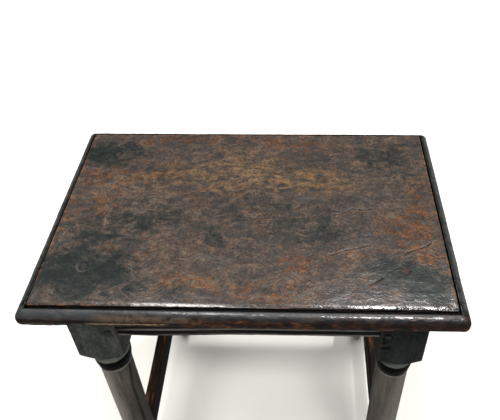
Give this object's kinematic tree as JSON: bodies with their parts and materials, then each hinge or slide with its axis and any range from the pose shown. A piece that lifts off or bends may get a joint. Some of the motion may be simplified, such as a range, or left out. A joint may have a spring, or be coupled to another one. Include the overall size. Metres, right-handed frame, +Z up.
{
  "type": "joint stool",
  "caption": "Joined oak stool: moulded rectangular seat board pegged to turned, raked legs with square blocks, joined by mortised and pegged rails and stretchers.",
  "frame": {"origin": "on the floor, under the middle of the seat", "axes": "+X along the seat to the right as seen from the front, +Y from front to back, +Z up"},
  "size_m": [0.46, 0.3234, 0.55],
  "materials": {
    "seat_oak": "dark waxed oak, worn on the field and the front edge",
    "frame_oak": "dark waxed oak, polished on the turnings",
    "peg_oak": "dark waxed end grain"
  },
  "bodies": {
    "root": {"seat_top": "seat_oak", "leg_front_left": "frame_oak", "leg_front_right": "frame_oak", "leg_back_left": "frame_oak", "leg_back_right": "frame_oak", "rail_front": "frame_oak", "rail_back": "frame_oak", "rail_left": "frame_oak", "rail_right": "frame_oak", "stretcher_front": "frame_oak", "stretcher_back": "frame_oak", "stretcher_left": "frame_oak", "stretcher_right": "frame_oak", "seat_pegs": "peg_oak", "rail_pegs_front_left": "peg_oak", "rail_pegs_front_right": "peg_oak", "rail_pegs_back_left": "peg_oak", "rail_pegs_back_right": "peg_oak", "stretcher_pegs_front_left": "peg_oak", "stretcher_pegs_front_right": "peg_oak", "stretcher_pegs_back_left": "peg_oak", "stretcher_pegs_back_right": "peg_oak"}
  },
  "joints": []
}
